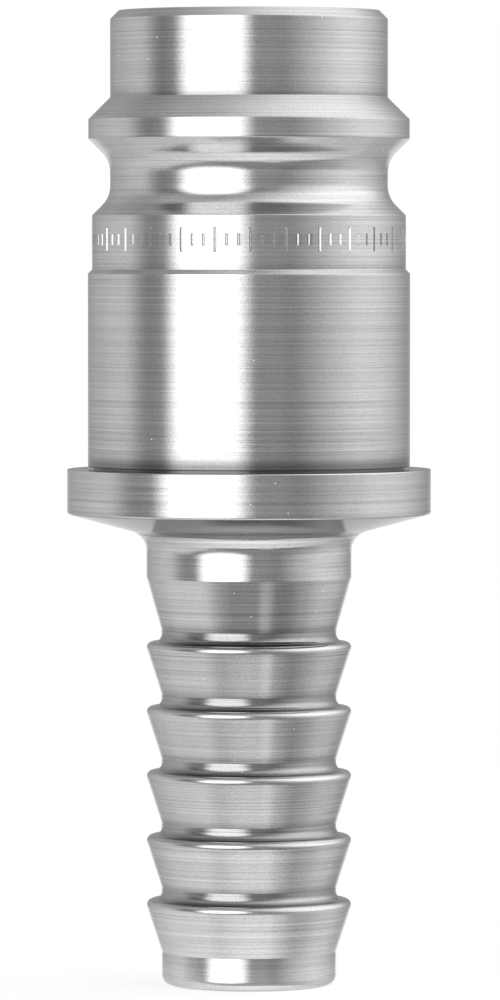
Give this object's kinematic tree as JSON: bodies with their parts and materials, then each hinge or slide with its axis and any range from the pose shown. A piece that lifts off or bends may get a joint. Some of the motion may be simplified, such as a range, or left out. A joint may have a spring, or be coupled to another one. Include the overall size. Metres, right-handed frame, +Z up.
{
  "type": "air coupler plug",
  "caption": "Hollow turned steel plug for a quick air coupling: nose, locking collar and groove, guide body, flange, and a barbed tail that a hose is pushed onto.",
  "frame": {"origin": "centre of the tail's end face, which the plug stands on", "axes": "+Z up along the turning axis, from the tail end to the nose; round about Z, so X and Y are alike"},
  "size_m": [0.0196, 0.0196, 0.0524],
  "materials": {
    "turned_steel": "bright turned steel with fine lathe lines"
  },
  "bodies": {
    "root": {"plug": "turned_steel"}
  },
  "joints": []
}
